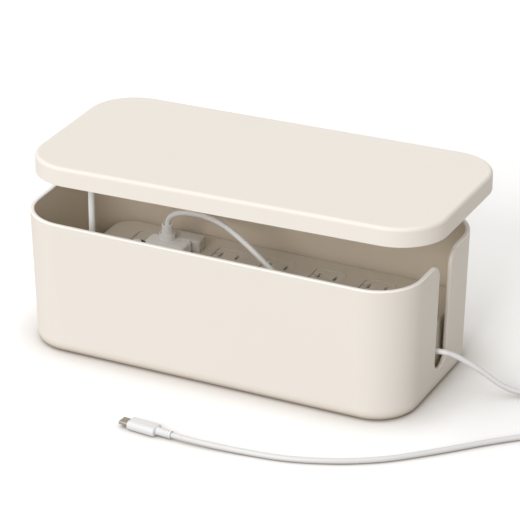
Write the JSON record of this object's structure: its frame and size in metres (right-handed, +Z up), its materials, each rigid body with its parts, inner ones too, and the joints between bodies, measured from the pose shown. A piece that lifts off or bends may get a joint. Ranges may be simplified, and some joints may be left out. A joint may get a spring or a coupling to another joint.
{
  "type": "cable management box",
  "caption": "Rounded cream cable management box: a tub with a cable slot, a lid raised on a stay, and a power strip, a charger and its USB-C cable inside.",
  "frame": {"origin": "centre of the tub's footprint, on the table it stands on", "axes": "+X to the end with the cable slot, +Y to the back, +Z up"},
  "size_m": [0.416, 0.2312, 0.1504],
  "materials": {
    "cream_plastic": "fine matte, warm cream",
    "cream_plastic_inner": "matte, warm cream",
    "strip_plastic": "satin warm white",
    "strip_insert": "satin warm white",
    "white_plastic": "satin white",
    "white_gloss": "gloss white",
    "cable_jacket": "soft satin white-grey",
    "grey_rubber": "matte",
    "black_rubber": "matte",
    "black_plastic": "matte",
    "steel": "zinc plated",
    "nickel": "nickel plated, satin",
    "brass": "plain",
    "board": "green solder mask"
  },
  "bodies": {
    "tub_body": {"tub": "cream_plastic", "foot_ring": "grey_rubber", "stay_friction_ring": "black_rubber", "strip_pads": "black_rubber", "stay_sleeve_screws": "steel", "strip_screws": "steel", "stay_sleeve": "cream_plastic_inner", "strip_base": "strip_plastic", "strip_cover": "strip_plastic", "outlet_faces": "strip_insert", "breaker_face": "strip_insert", "breaker_body": "black_plastic", "line_bar": "brass", "neutral_bar": "brass", "earth_bar": "brass", "switch_frame": "strip_insert", "switch_terminals": "brass", "mains_gland": "white_plastic", "charger_front": "white_plastic", "charger_rear": "white_plastic", "charger_board": "board", "charger_blades": "nickel", "boot_collar": "white_plastic", "boot_sleeve": "white_plastic", "cable": "cable_jacket", "usb_relief": "cable_jacket", "usb_overmould": "white_plastic", "usb_shell": "nickel", "usb_liner": "black_plastic"},
    "stay": {"stay_rod": "white_gloss", "stay_stud": "steel", "stay_stop": "steel"},
    "shoe": {"stay_head": "black_plastic"},
    "lid": {"lid_shell": "cream_plastic", "lid_panel": "cream_plastic_inner", "lid_pads": "grey_rubber", "lid_screws": "steel", "stay_track": "cream_plastic_inner"},
    "rocker": {"switch_rocker": "white_plastic"},
    "button": {"breaker_button": "white_plastic"}
  },
  "joints": [
    {"name": "lid_lift", "type": "slide", "parent": "tub_body", "child": "stay", "axis": [0, 0, 1], "range_m": [-0.03047, 0]},
    {"name": "lid_level", "type": "hinge", "parent": "stay", "child": "shoe", "pos_m": [-0.109, -0.03, 0.13807], "axis": [0.8321, 0.1906, -0.5208], "range_deg": [0, 2.72]},
    {"name": "lid_slide", "type": "slide", "parent": "shoe", "child": "lid", "axis": [0.9997, 0.0248, 0.0085], "range_m": [-0.01035, 0]},
    {"name": "switch_rock", "type": "hinge", "parent": "tub_body", "child": "rocker", "pos_m": [0.118, 0.0215, 0.045], "axis": [0, 1, 0], "range_deg": [0, 15]},
    {"name": "breaker_reset", "type": "slide", "parent": "tub_body", "child": "button", "axis": [0, 0, -1], "range_m": [0, 0.0018], "stiffness_N_per_m": 400, "springref_m": -0.001}
  ],
  "couplings": [
    {"joint": "lid_level", "follows": "lid_lift", "rad_per_m": -1.5508}
  ]
}
